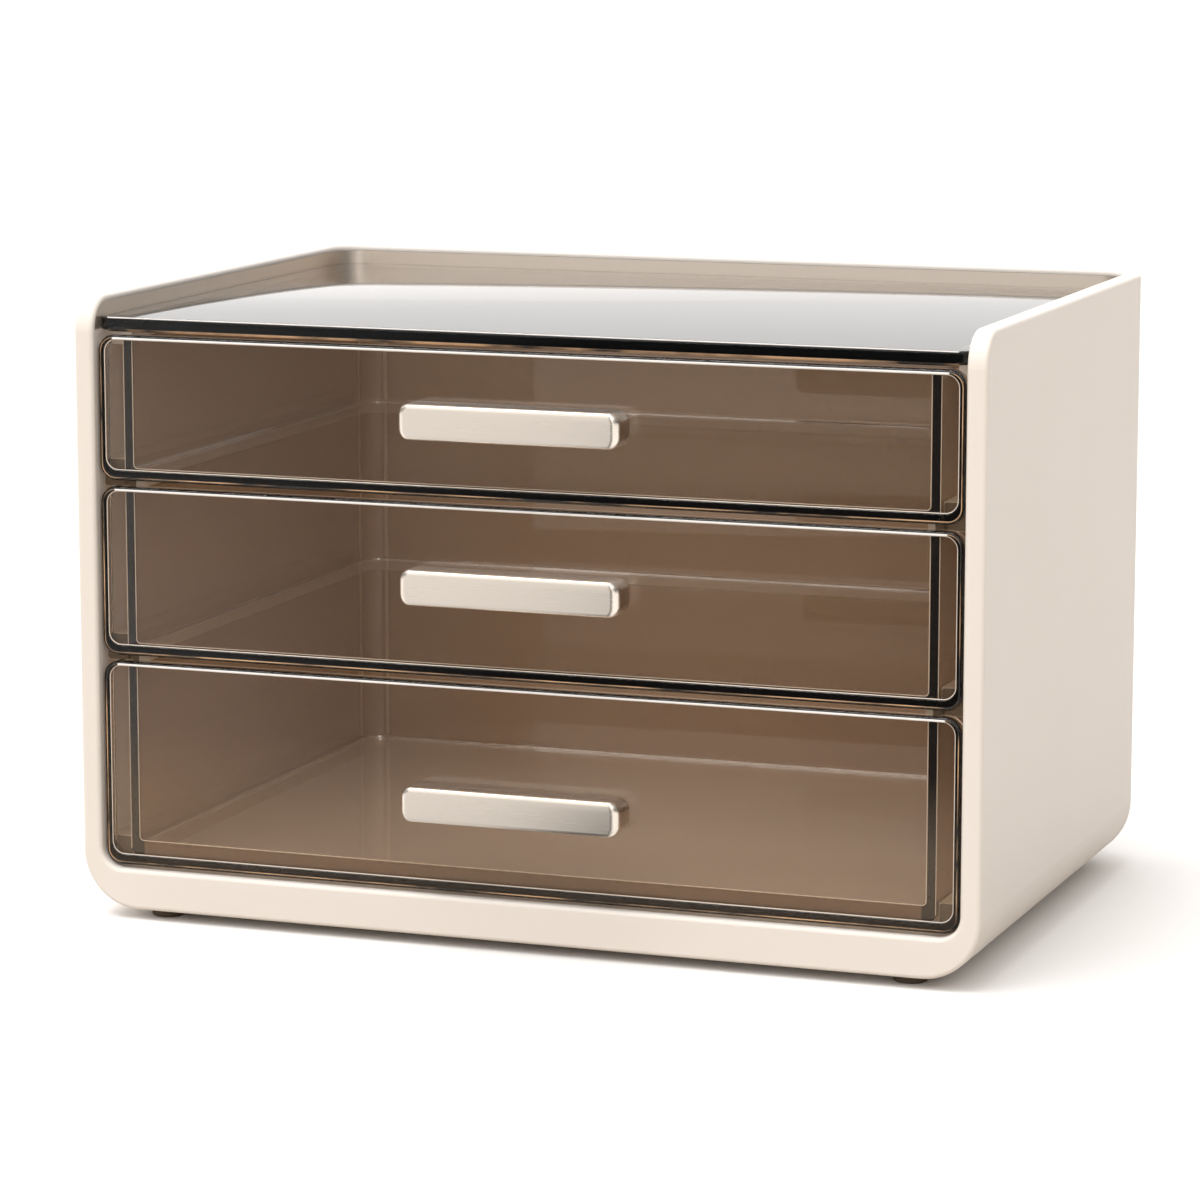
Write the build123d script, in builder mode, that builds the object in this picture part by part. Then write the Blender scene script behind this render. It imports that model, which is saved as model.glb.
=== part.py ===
from build123d import *
import os

# Desk organizer: a moulded casing with a clear shelf on top and three clear drawers on runner strips.
# Millimetres. X runs to the right, Y from front to back, Z up. The origin is on the standing surface,
# under the middle of the whole object, handles included.

# Casing
casing_width = 320.0
casing_depth = 220.0
side_wall = 7.0
back_wall = 7.0
floor_thickness = 14.0
bottom_corner_radius = 20.0
back_corner_radius = 22.0
cavity_back_radius = 11.0
mouth_corner_radius = 7.5
wall_nose_radius = 12.0
casing_edge_radius = 1.5
rim_height = 6.8

# Shelf that closes the top, and the strips that carry it
shelf_thickness = 4.5
shelf_setback = 4.0
shelf_corner_radius = 3.5
shelf_edge_radius = 0.6
shelf_clearance = 0.3
shelf_rail_width = 7.0
shelf_rail_height = 6.0
shelf_rail_setback = 16.0
shelf_rail_box_gap = 0.5
rail_edge_radius = 0.8

# Metal strip let into the inside of the rim
liner_thickness = 1.0
liner_clearance = 0.1
liner_lip = 2.0
liner_nose_radius = 9.0

# Drawer fronts
upper_front_height = 49.5
middle_front_height = 58.0
lower_front_height = 71.0
front_gap = 2.2
sill_gap = 1.1
head_gap = 1.5
side_gap = 0.8
front_setback = 2.5
front_thickness = 5.0
front_corner_radius = 5.5
front_edge_radius = 0.8
front_back_edge_radius = 0.4
rim_step = 0.8
rim_side_border = 2.0
rim_bottom_border = 3.4
rim_top_border = 1.3
rim_corner_radius = 4.5
rim_inner_edge_radius = 0.3
pocket_depth = 2.0
pocket_side_border = 2.4
pocket_bottom_border = 0.8
pocket_top_border = 1.2
pocket_corner_radius = 3.5

# Drawer boxes
box_inset = 8.5
box_wall = 3.2
box_floor = 3.0
lower_box_floor = 5.0
box_seat_clearance = 0.2
lower_box_lift = 2.4
box_back_gap = 3.0
box_corner_radius = 10.0
box_outer_edge_radius = 2.0
box_inner_edge_radius = 1.5
box_lip_radius = 0.6

# Handles, one bar on each drawer, held by two screws from inside
handle_length = 78.0
handle_height = 12.0
handle_depth = 10.8
handle_corner_radius = 4.0
handle_edge_radius = 2.2
upper_handle_rise = 26.0
middle_handle_rise = 31.0
lower_handle_rise = 31.0
handle_screw_pitch = 50.0
handle_screw_diameter = 3.0
handle_screw_depth = 5.5
handle_hole_clearance = 0.2
handle_screw_head_diameter = 5.6
handle_screw_head_height = 1.8
screw_head_radius = 0.6
washer_diameter = 7.6
washer_thickness = 0.6

# Runner strips that carry the drawers
runner_ledge_width = 15.0
runner_ledge_thickness = 3.5
runner_guide_height = 6.0
runner_end_gap = 0.3
runner_back_gap = 16.0
runner_side_clearance = 0.5
runner_top_clearance = 0.2
runner_corner_relief = 0.4
runner_lead_radius = 3.0

# Base plate under the floor, its screws, and the feet
base_inset_side = 24.0
base_inset_front = 22.0
base_inset_back = 40.0
base_thickness = 3.0
base_corner_radius = 10.0
base_clearance = 0.2
base_screw_diameter = 3.0
base_screw_length = 10.0
base_screw_head_diameter = 5.6
base_screw_head_height = 1.5
base_screw_recess = 1.8
base_screw_inset = 12.0
foot_height = 3.5
foot_diameter = 11.5
foot_edge_radius = 0.8
foot_peg_diameter = 5.0
foot_peg_length = 5.0
foot_inset_side = 26.5
foot_inset_front = 12.0
foot_inset_back = 27.0
hole_clearance = 0.2

# Heights, from the standing surface up
casing_bottom_z = foot_height
cavity_floor_z = casing_bottom_z + floor_thickness
lower_front_z = cavity_floor_z + sill_gap
middle_front_z = lower_front_z + lower_front_height + front_gap
upper_front_z = middle_front_z + middle_front_height + front_gap
shelf_bottom_z = upper_front_z + upper_front_height + head_gap
shelf_top_z = shelf_bottom_z + shelf_thickness
casing_top_z = shelf_top_z + rim_height

# Depths, from the front to the back
handle_reach = handle_depth - rim_step - front_setback
front_y = (handle_reach - casing_depth) / 2
back_y = front_y + casing_depth
cavity_back_y = back_y - back_wall
panel_y = front_y + front_setback
pane_y = panel_y + rim_step
pocket_y = panel_y + front_thickness - pocket_depth
panel_back_y = panel_y + front_thickness
runner_front_y = panel_back_y + runner_end_gap

# Widths that other pieces fit to
cavity_width = casing_width - 2 * side_wall
front_width = cavity_width - 2 * side_gap
box_width = front_width - 2 * box_inset
foot_x = casing_width / 2 - foot_inset_side
foot_front_y = front_y + foot_inset_front
foot_back_y = back_y - foot_inset_back
handle_hole_radius = (handle_screw_diameter + handle_hole_clearance) / 2

# The drawer box stands in the pocket behind its front
box_rise = pocket_bottom_border + box_seat_clearance
box_top_drop = pocket_top_border + box_seat_clearance
back_rail_height = head_gap + box_top_drop - shelf_rail_box_gap

tiers = {
    "upper": (upper_front_z, upper_front_height, upper_handle_rise, box_rise),
    "middle": (middle_front_z, middle_front_height, middle_handle_rise, box_rise),
    "lower": (lower_front_z, lower_front_height, lower_handle_rise, box_rise + lower_box_lift),
}
sides = {"left": -1, "right": 1}

os.makedirs("parts", exist_ok=True)


def upright_plane(y, z=0.0):
    """Plane facing the front at depth y and height z: its X is to the right and its Y is up."""
    return Plane(origin=(0, y, z), x_dir=(1, 0, 0), z_dir=(0, -1, 0))


def backward_plane(y, z):
    """Plane facing the back at depth y and height z, on which holes run towards the front."""
    return Plane(origin=(0, y, z), x_dir=(-1, 0, 0), z_dir=(0, 1, 0))


def spots_facing_down(spots, z):
    """One plane facing down at each spot, on which holes run upwards from height z."""
    return [Plane(origin=(x, y, z), z_dir=(0, 0, -1)) for x, y in spots]


def save(piece, label):
    """Label a finished piece and write its solids."""
    piece.part.label = label
    export_step(piece.part, f"parts/{label}.step")


def half_round_plan(width, y_from, y_to, back_radius):
    """Plan outline that is square at the front and rounded at its two back corners."""
    with BuildSketch(mode=Mode.PRIVATE) as plan:
        with Locations((0, y_from)):
            Rectangle(width, y_to - y_from, align=(Align.CENTER, Align.MIN))
        fillet(plan.vertices().group_by(Axis.Y)[-1], back_radius)
    return plan.sketch


def side_and_back_edges(solid):
    """Edges round the lowest face, all but the one along the front."""
    return solid.faces().sort_by(Axis.Z)[0].edges().sort_by(Axis.Y)[1:]


# Space inside the casing: open at the front and the top, coved where the floor meets the walls
with BuildPart() as cavity:
    with BuildSketch(Plane.XY.offset(cavity_floor_z)):
        add(half_round_plan(cavity_width, front_y, cavity_back_y, cavity_back_radius))
    extrude(amount=casing_top_z - cavity_floor_z)
    fillet(side_and_back_edges(cavity), mouth_corner_radius)

# Groove for the metal strip, from the shelf's seat up to a lip that follows the rim and its noses
groove_width = cavity_width + 2 * liner_thickness
groove_radius = cavity_back_radius + liner_thickness
groove_top_z = casing_top_z - liner_lip
groove_front_y = front_y + liner_lip
with BuildPart() as groove:
    with BuildSketch(Plane.XY.offset(shelf_bottom_z)):
        add(half_round_plan(groove_width, groove_front_y, cavity_back_y + liner_thickness, groove_radius))
    extrude(amount=groove_top_z - shelf_bottom_z)
    groove_nose = groove.edges().filter_by(Axis.X).group_by(Axis.Z)[-1].sort_by(Axis.Y)[0]
    fillet(groove_nose, liner_nose_radius)

# Base plate outline, shared by the plate and its seat
base_width = casing_width - 2 * base_inset_side
base_depth = casing_depth - base_inset_front - base_inset_back
base_middle_y = front_y + base_inset_front + base_depth / 2
base_screw_spots = [
    (side * (base_width / 2 - base_screw_inset), base_middle_y + row * (base_depth / 2 - base_screw_inset))
    for row in (-1, 0, 1)
    for side in (-1, 1)
]
foot_spots = {
    "front_left": (-foot_x, foot_front_y),
    "front_right": (foot_x, foot_front_y),
    "back_left": (-foot_x, foot_back_y),
    "back_right": (foot_x, foot_back_y),
}

# Moulded casing: floor, two sides and back in one piece
with BuildPart() as outer_casing:
    with BuildSketch(Plane.XY.offset(casing_bottom_z)):
        add(half_round_plan(casing_width, front_y, back_y, back_corner_radius))
    extrude(amount=casing_top_z - casing_bottom_z)
    fillet(side_and_back_edges(outer_casing), bottom_corner_radius)
    add(cavity.part, mode=Mode.SUBTRACT)
    nose_edges = outer_casing.edges().filter_by(Axis.X).group_by(Axis.Z)[-1].group_by(Axis.Y)[0]
    fillet(nose_edges, wall_nose_radius)
    # The front and the rim are two closed outlines that run over the rounded noses of the side walls.
    nose_faces = outer_casing.faces().filter_by(GeomType.CYLINDER).sort_by(Axis.Y)[:2]
    outline_faces = nose_faces + [outer_casing.faces().sort_by(Axis.Y)[0]]
    outline_faces = outline_faces + [outer_casing.faces().sort_by(Axis.Z)[-1]]
    outline_edges = ShapeList(edge for face in outline_faces for edge in face.edges())
    seam_edges = ShapeList(edge for face in nose_faces for edge in face.edges().filter_by(Axis.X))
    fillet(outline_edges - seam_edges, casing_edge_radius)
    add(groove.part, mode=Mode.SUBTRACT)
    with BuildSketch(Plane.XY.offset(casing_bottom_z)):
        with Locations((0, base_middle_y)):
            RectangleRounded(base_width, base_depth, base_corner_radius)
    extrude(amount=base_thickness, mode=Mode.SUBTRACT)
    with Locations(*spots_facing_down(base_screw_spots, casing_bottom_z + base_thickness)):
        Hole((base_screw_diameter + hole_clearance) / 2, base_screw_length)
    with Locations(*spots_facing_down(foot_spots.values(), casing_bottom_z)):
        Hole((foot_peg_diameter + hole_clearance) / 2, foot_peg_length + hole_clearance)
save(outer_casing, "outer_casing")

# Metal strip round the inside of the rim, in three sides, standing on the groove's floor
with BuildPart() as rim_liner:
    with BuildSketch(Plane.XY.offset(shelf_bottom_z)):
        liner_back_y = cavity_back_y + liner_thickness - liner_clearance
        add(half_round_plan(groove_width - 2 * liner_clearance, groove_front_y + liner_clearance,
                            liner_back_y, groove_radius - liner_clearance))
        add(half_round_plan(cavity_width, front_y, cavity_back_y, cavity_back_radius), mode=Mode.SUBTRACT)
    extrude(amount=groove_top_z - liner_clearance - shelf_bottom_z)
    liner_nose_edges = rim_liner.edges().filter_by(Axis.X).group_by(Axis.Z)[-1].group_by(Axis.Y)[0]
    fillet(liner_nose_edges, liner_nose_radius - liner_clearance)
save(rim_liner, "rim_liner")

# Clear shelf, dropped in between the rim walls
with BuildPart() as top_shelf:
    with BuildSketch(Plane.XY.offset(shelf_bottom_z)) as shelf_plan:
        add(half_round_plan(cavity_width - 2 * shelf_clearance, front_y + shelf_setback,
                            cavity_back_y - shelf_clearance, cavity_back_radius - shelf_clearance))
        fillet(shelf_plan.vertices().group_by(Axis.Y)[0], shelf_corner_radius)
    extrude(amount=shelf_thickness)
    fillet(top_shelf.edges().filter_by(Axis.Z, reverse=True), shelf_edge_radius)
save(top_shelf, "top_shelf")

# Strips under the shelf, one on each side wall and one on the back wall
rail_front_y = front_y + shelf_rail_setback
rail_length = cavity_back_y - cavity_back_radius - rail_front_y
rail_x = (cavity_width - shelf_rail_width) / 2
for side, sign in sides.items():
    with BuildPart() as shelf_rail:
        with BuildSketch(upright_plane(rail_front_y)):
            with Locations((sign * rail_x, shelf_bottom_z)):
                Rectangle(shelf_rail_width, shelf_rail_height, align=(Align.CENTER, Align.MAX))
        extrude(amount=-rail_length)
        lower_edges = shelf_rail.edges().filter_by(Axis.Y).group_by(Axis.Z)[0]
        fillet(lower_edges.sort_by(Axis.X)[0 if sign > 0 else -1], rail_edge_radius)
    save(shelf_rail, f"shelf_rail_{side}")

with BuildPart() as shelf_rail_back:
    with BuildSketch(upright_plane(cavity_back_y)):
        with Locations((0, shelf_bottom_z)):
            back_rail_length = cavity_width - 2 * cavity_back_radius
            Rectangle(back_rail_length, back_rail_height, align=(Align.CENTER, Align.MAX))
    extrude(amount=shelf_rail_width)
    lower_edges = shelf_rail_back.edges().filter_by(Axis.X).group_by(Axis.Z)[0]
    fillet(lower_edges.sort_by(Axis.Y)[0], rail_edge_radius)
save(shelf_rail_back, "shelf_rail_back")


def build_runner(side, tier):
    """Strip on a side wall: a ledge under the drawer box and a low guide beside it."""
    sign = sides[side]
    front_z, _, _, rise = tiers[tier]
    wall_x = cavity_width / 2
    guide_x = box_width / 2 + runner_side_clearance
    ledge_x = wall_x - runner_ledge_width
    ledge_top = front_z + rise - runner_top_clearance
    guide_top = ledge_top + runner_guide_height
    if tier == "lower":
        # The lowest pair stands on the casing floor, clear of the cove along the wall.
        ledge_bottom = cavity_floor_z
        relief = mouth_corner_radius + runner_corner_relief
        guide_top = max(guide_top, ledge_bottom + relief + rail_edge_radius)
        wall_foot = [(wall_x - relief, ledge_bottom), (wall_x, ledge_bottom + relief)]
    else:
        ledge_bottom = ledge_top - runner_ledge_thickness
        wall_foot = [(wall_x, ledge_bottom)]
    outline = [(ledge_x, ledge_top), (ledge_x, ledge_bottom)] + wall_foot
    outline = outline + [(wall_x, guide_top), (guide_x, guide_top), (guide_x, ledge_top)]
    with BuildPart() as runner:
        with BuildSketch(upright_plane(runner_front_y)):
            with BuildLine():
                Polyline([(sign * x, z) for x, z in outline], close=True)
            make_face()
        extrude(amount=runner_front_y - (cavity_back_y - runner_back_gap))
        tips = runner.edges().filter_by(Axis.Z).group_by(Axis.X)[0 if sign > 0 else -1]
        fillet(tips, runner_lead_radius)
    save(runner, f"runner_{tier}_{side}")


def build_drawer_front(tier):
    """Clear front: a pane inside a raised rim, with a pocket behind it that the box stands in."""
    front_z, height, handle_rise, _ = tiers[tier]
    pane_height = height - rim_top_border - rim_bottom_border
    pocket_height = height - pocket_top_border - pocket_bottom_border
    with BuildPart() as drawer_front:
        with BuildSketch(upright_plane(panel_y, front_z + height / 2)):
            RectangleRounded(front_width, height, front_corner_radius)
        extrude(amount=-front_thickness)
        fillet(drawer_front.faces().sort_by(Axis.Y)[0].edges(), front_edge_radius)
        fillet(drawer_front.faces().sort_by(Axis.Y)[-1].edges(), front_back_edge_radius)
        with BuildSketch(upright_plane(panel_y, front_z + rim_bottom_border + pane_height / 2)):
            RectangleRounded(front_width - 2 * rim_side_border, pane_height, rim_corner_radius)
        extrude(amount=-rim_step, mode=Mode.SUBTRACT)
        fillet(drawer_front.faces().sort_by(Axis.Y)[0].inner_wires()[0].edges(), rim_inner_edge_radius)
        with BuildSketch(upright_plane(panel_back_y, front_z + pocket_bottom_border + pocket_height / 2)):
            RectangleRounded(front_width - 2 * pocket_side_border, pocket_height, pocket_corner_radius)
        extrude(amount=pocket_depth, mode=Mode.SUBTRACT)
        with Locations(upright_plane(panel_y, front_z + handle_rise)):
            with GridLocations(handle_screw_pitch, 0, 2, 1):
                Hole(handle_hole_radius, front_thickness)
    save(drawer_front, f"drawer_front_{tier}")


def build_drawer_box(tier):
    """Clear box behind the front: a floor with two sides and a back, open towards the front plate."""
    front_z, height, _, rise = tiers[tier]
    box_z = front_z + rise
    box_top = front_z + height - box_top_drop
    box_back_y = cavity_back_y - box_back_gap
    floor = lower_box_floor if tier == "lower" else box_floor
    with BuildPart() as drawer_box:
        with BuildSketch(Plane.XY.offset(box_z)):
            add(half_round_plan(box_width, pocket_y, box_back_y, box_corner_radius))
        extrude(amount=box_top - box_z)
        fillet(side_and_back_edges(drawer_box), box_outer_edge_radius)
        with BuildSketch(Plane.XY.offset(box_z + floor)):
            add(half_round_plan(box_width - 2 * box_wall, pocket_y, box_back_y - box_wall,
                                box_corner_radius - box_wall))
        extrude(amount=box_top - box_z, mode=Mode.SUBTRACT)
        floor_face = drawer_box.faces().filter_by(Axis.Z).sort_by(Axis.Z)[1]
        fillet(floor_face.edges().sort_by(Axis.Y)[1:], box_inner_edge_radius)
        lip_edges = drawer_box.faces().sort_by(Axis.Z)[-1].edges().sort_by(Axis.Y)[2:]
        fillet(lip_edges, box_lip_radius)
    save(drawer_box, f"drawer_box_{tier}")


def build_handle(tier):
    """Solid bar handle, flat against the pane, with two blind screw holes behind."""
    front_z, _, handle_rise, _ = tiers[tier]
    with BuildPart() as handle:
        with BuildSketch(upright_plane(pane_y, front_z + handle_rise)):
            RectangleRounded(handle_length, handle_height, handle_corner_radius)
        extrude(amount=handle_depth)
        fillet(handle.faces().sort_by(Axis.Y)[0].edges(), handle_edge_radius)
        with Locations(backward_plane(pane_y, front_z + handle_rise)):
            with GridLocations(handle_screw_pitch, 0, 2, 1):
                Hole(handle_hole_radius, handle_screw_depth + handle_hole_clearance)
    save(handle, f"handle_{tier}")


def build_handle_fixings(tier):
    """Two screws with washers, driven from inside the drawer through the pane into the handle."""
    front_z, _, handle_rise, _ = tiers[tier]
    seat = backward_plane(pocket_y, front_z + handle_rise)
    with BuildPart() as washers:
        with BuildSketch(seat):
            with GridLocations(handle_screw_pitch, 0, 2, 1):
                Circle(washer_diameter / 2)
                Circle(handle_hole_radius, mode=Mode.SUBTRACT)
        extrude(amount=washer_thickness)
    save(washers, f"handle_washers_{tier}")

    shank_length = handle_screw_depth + pocket_y - pane_y + washer_thickness
    with BuildPart() as screws:
        with BuildSketch(seat.offset(washer_thickness)):
            with GridLocations(handle_screw_pitch, 0, 2, 1):
                Circle(handle_screw_head_diameter / 2)
        extrude(amount=handle_screw_head_height)
        fillet(screws.faces().group_by(Axis.Y)[-1].edges(), screw_head_radius)
        with BuildSketch(seat.offset(washer_thickness)):
            with GridLocations(handle_screw_pitch, 0, 2, 1):
                Circle(handle_screw_diameter / 2)
        extrude(amount=-shank_length)
    save(screws, f"handle_screws_{tier}")


for tier in tiers:
    for side in sides:
        build_runner(side, tier)
    build_drawer_front(tier)
    build_drawer_box(tier)
    build_handle(tier)
    build_handle_fixings(tier)

# Plate that closes the underside, flush with the casing
with BuildPart() as base_plate:
    with BuildSketch(Plane.XY.offset(casing_bottom_z)):
        with Locations((0, base_middle_y)):
            RectangleRounded(base_width - 2 * base_clearance, base_depth - 2 * base_clearance,
                             base_corner_radius - base_clearance)
    extrude(amount=base_thickness)
    with Locations(*spots_facing_down(base_screw_spots, casing_bottom_z)):
        CounterBoreHole((base_screw_diameter + hole_clearance) / 2,
                        (base_screw_head_diameter + hole_clearance) / 2, base_screw_recess, base_thickness)
save(base_plate, "base_plate")

# Screws of the base plate, heads sunk below its surface
screw_seat_z = casing_bottom_z + base_screw_recess
with BuildPart() as base_screws:
    with BuildSketch(Plane.XY.offset(screw_seat_z)):
        with Locations(*base_screw_spots):
            Circle(base_screw_head_diameter / 2)
    extrude(amount=-base_screw_head_height)
    fillet(base_screws.faces().group_by(Axis.Z)[0].edges(), screw_head_radius)
    with BuildSketch(Plane.XY.offset(screw_seat_z)):
        with Locations(*base_screw_spots):
            Circle(base_screw_diameter / 2)
    extrude(amount=base_screw_length)
save(base_screws, "base_screws")

# Round feet, each with a peg pushed into the casing floor
for place, (x, y) in foot_spots.items():
    with BuildPart() as foot:
        with BuildSketch(Plane(origin=(x, y, 0))):
            Circle(foot_diameter / 2)
        extrude(amount=foot_height)
        fillet(foot.faces().sort_by(Axis.Z)[0].edges(), foot_edge_radius)
        with BuildSketch(Plane(origin=(x, y, foot_height))):
            Circle(foot_peg_diameter / 2)
        extrude(amount=foot_peg_length)
    save(foot, f"foot_{place}")
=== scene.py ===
"""Looks of a desk organizer: a cream moulded casing, a smoked clear shelf and three bronze clear drawers."""

import logging
import math
from dataclasses import dataclass, field
from enum import Enum
from typing import Any, Sequence

import bpy
import numpy as np
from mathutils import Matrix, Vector


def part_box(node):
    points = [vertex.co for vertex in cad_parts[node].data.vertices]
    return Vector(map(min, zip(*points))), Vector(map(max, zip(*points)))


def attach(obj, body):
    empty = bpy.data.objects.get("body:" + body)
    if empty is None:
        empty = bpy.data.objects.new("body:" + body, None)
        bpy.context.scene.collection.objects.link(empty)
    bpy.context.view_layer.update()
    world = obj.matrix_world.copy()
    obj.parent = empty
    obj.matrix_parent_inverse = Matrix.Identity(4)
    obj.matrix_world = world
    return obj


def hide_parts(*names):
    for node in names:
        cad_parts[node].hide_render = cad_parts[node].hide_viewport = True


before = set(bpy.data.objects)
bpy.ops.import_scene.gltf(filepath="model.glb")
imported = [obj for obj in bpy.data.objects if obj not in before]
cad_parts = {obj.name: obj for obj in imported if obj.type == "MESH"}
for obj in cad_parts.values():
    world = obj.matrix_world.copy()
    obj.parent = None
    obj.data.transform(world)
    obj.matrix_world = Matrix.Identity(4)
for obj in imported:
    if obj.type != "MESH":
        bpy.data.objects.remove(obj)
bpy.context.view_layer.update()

LOG = logging.getLogger("organizer")

# Lengths are in metres, and directions are the frame's own.
MM = 0.001
CM = 0.01
SIDEWAYS = (1.0, 0.0, 0.0)
BACKWARDS = (0.0, 1.0, 0.0)
UPWARDS = (0.0, 0.0, 1.0)

# How finely rounds are drawn, and the degrees above which an edge shows as a crease.
CORNER_STEPS = 10
EDGE_STEPS = 5
BEAD_SIDES = 8
CREASE = 40.0

# Sockets of the node that mixes two colours, which share their names with others.
MIX_FIRST = 6
MIX_SECOND = 7
MIX_RESULT = 2


class Tier(Enum):
    """The three drawers, from the top down."""

    UPPER = "upper"
    MIDDLE = "middle"
    LOWER = "lower"


class Body(Enum):
    """The moving bodies that pieces ride on."""

    CABINET = "cabinet"
    UPPER = "drawer_upper"
    MIDDLE = "drawer_middle"
    LOWER = "drawer_lower"


class Slot(Enum):
    """The finish slots that new pieces belong to."""

    SHELF = "shelf_acrylic"
    DRAWER = "drawer_acrylic"
    HANDLE = "handle_metal"
    RUBBER = "foot_rubber"


class Ray(Enum):
    """Kinds of light path that a material can tell apart."""

    DIFFUSE = "Is Diffuse Ray"
    GLOSSY = "Is Glossy Ray"
    SINGULAR = "Is Singular Ray"
    SHADOW = "Is Shadow Ray"


class Ends(Enum):
    """How a stack of rings is closed."""

    CAPPED = "flat faces on the first and last ring"
    LOOPED = "the last ring joins the first"


def linear(hex_colour: str) -> tuple[float, float, float, float]:
    """Turn an sRGB hex colour to linear light.

    Args:
        hex_colour: six hex digits after a hash sign.

    Returns:
        Linear red, green and blue, and an alpha of 1.
    """
    srgb = np.array([int(hex_colour[i:i + 2], 16) for i in (1, 3, 5)]) / 255
    light = np.where(srgb <= 0.04045, srgb / 12.92, ((srgb + 0.055) / 1.055) ** 2.4)
    return (*light.tolist(), 1.0)


def add_node(tree: bpy.types.NodeTree, kind: str, values: dict[str | int, Any] | None = None,
             links: dict[str | int, bpy.types.NodeSocket] | None = None, **settings: Any) -> bpy.types.Node:
    """Add one node with its settings and links.

    Args:
        tree: the node tree it goes into.
        kind: the node's type after the word ShaderNode.
        values: plain values by input name or number.
        links: output sockets by the input name or number that they feed.
        settings: properties of the node itself.

    Returns:
        The new node.
    """
    node = tree.nodes.new("ShaderNode" + kind)
    for name, value in settings.items():
        setattr(node, name, value)
    for key, value in (values or {}).items():
        node.inputs[key].default_value = value
    for key, socket in (links or {}).items():
        tree.links.new(socket, node.inputs[key])
    return node


def new_material(name: str) -> tuple[bpy.types.Material, bpy.types.NodeTree]:
    """Start a material with an empty node tree.

    Args:
        name: the material's name.

    Returns:
        The material and its node tree.
    """
    material = bpy.data.materials.new(name)
    material.use_nodes = True
    material.node_tree.nodes.clear()
    return material, material.node_tree


@dataclass(frozen=True)
class MouldedPlastic:
    """Moulded plastic or rubber with a fine spark-eroded grain, soft highlights and faint cloudiness; also
    beads and sheets of painted light and shade.
    """

    name: str
    colour: str
    shade: str
    roughness: float
    grain_mm: float
    grain_depth_mm: float
    cloud_mm: float = 60.0
    cloud_spread: float = 0.5
    cloud_detail: float = 3.0
    grain_detail: float = 2.0
    grain_strength: float = 0.35
    gloss_spread: float = 0.05
    ior: float = 1.53

    def material(self) -> bpy.types.Material:
        """Build the node material: grain drives bump and gloss, a wide cloud drives the tint.

        Returns:
            The material.
        """
        material, tree = new_material(self.name)
        place = add_node(tree, "TexCoord").outputs["Object"]
        cloud = add_node(tree, "TexNoise", {"Scale": 1 / (self.cloud_mm * MM), "Detail": self.cloud_detail},
                         {"Vector": place})
        grain = add_node(tree, "TexNoise", {"Scale": 1 / (self.grain_mm * MM), "Detail": self.grain_detail},
                         {"Vector": place})
        part = add_node(tree, "MapRange", {"From Min": 0.5 - self.cloud_spread,
                                           "From Max": 0.5 + self.cloud_spread},
                        {"Value": cloud.outputs["Fac"]})
        tint = add_node(tree, "Mix", {MIX_FIRST: linear(self.shade), MIX_SECOND: linear(self.colour)},
                        {0: part.outputs[0]}, data_type="RGBA")
        gloss = add_node(tree, "MapRange", {"To Min": self.roughness - self.gloss_spread,
                                            "To Max": self.roughness + self.gloss_spread},
                         {"Value": grain.outputs["Fac"]})
        bump = add_node(tree, "Bump", {"Strength": self.grain_strength, "Distance": self.grain_depth_mm * MM},
                        {"Height": grain.outputs["Fac"]})
        shader = add_node(tree, "BsdfPrincipled", {"IOR": self.ior},
                          {"Base Color": tint.outputs[MIX_RESULT], "Roughness": gloss.outputs[0],
                           "Normal": bump.outputs[0]})
        add_node(tree, "OutputMaterial", links={"Surface": shader.outputs[0]})
        return material


@dataclass(frozen=True)
class TintedAcrylic:
    """Tinted clear acrylic: faces stay clear while long ways through edges go nearly black."""

    name: str
    kept_per_cm: tuple[float, float, float]
    milk: float = 0.0
    milk_colour: str = "#FFFFFF"
    passed: tuple[float, float, float] = (0.945, 0.93, 0.915)
    wave_mm: float = 45.0
    wave_depth_mm: float = 1.0
    wave_strength: float = 0.02
    wave_detail: float = 1.0
    ior: float = 1.49
    strongest_share: float = 0.9

    def material(self) -> bpy.types.Material:
        """Build the node material: clear to the eye, a plain filter for light on its way inside.

        Returns:
            The material.
        """
        material, tree = new_material(self.name)
        place = add_node(tree, "TexCoord").outputs["Object"]
        wave = add_node(tree, "TexNoise", {"Scale": 1 / (self.wave_mm * MM), "Detail": self.wave_detail},
                        {"Vector": place})
        bump = add_node(tree, "Bump", {"Strength": self.wave_strength, "Distance": self.wave_depth_mm * MM},
                        {"Height": wave.outputs["Fac"]})
        shader = add_node(tree, "BsdfPrincipled", {"Base Color": linear(self.milk_colour), "IOR": self.ior,
                                                   "Roughness": 0.0, "Transmission Weight": 1 - self.milk},
                          {"Normal": bump.outputs[0]})
        passing = add_node(tree, "BsdfTransparent", {"Color": (*self.passed, 1)})
        path = add_node(tree, "LightPath")
        for ray in (Ray.DIFFUSE, Ray.SHADOW):
            shader = add_node(tree, "MixShader", links={0: path.outputs[ray.value], 1: shader.outputs[0],
                                                        2: passing.outputs[0]})
        # Light is lost at density times one less the colour, with the most lost colour at strongest_share.
        lost = [-math.log(kept) / CM for kept in self.kept_per_cm]
        density = max(lost) / self.strongest_share
        body = add_node(tree, "VolumeAbsorption",
                        {"Color": (*[1 - rate / density for rate in lost], 1), "Density": density})
        add_node(tree, "OutputMaterial", links={"Surface": shader.outputs[0], "Volume": body.outputs[0]})
        return material


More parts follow.
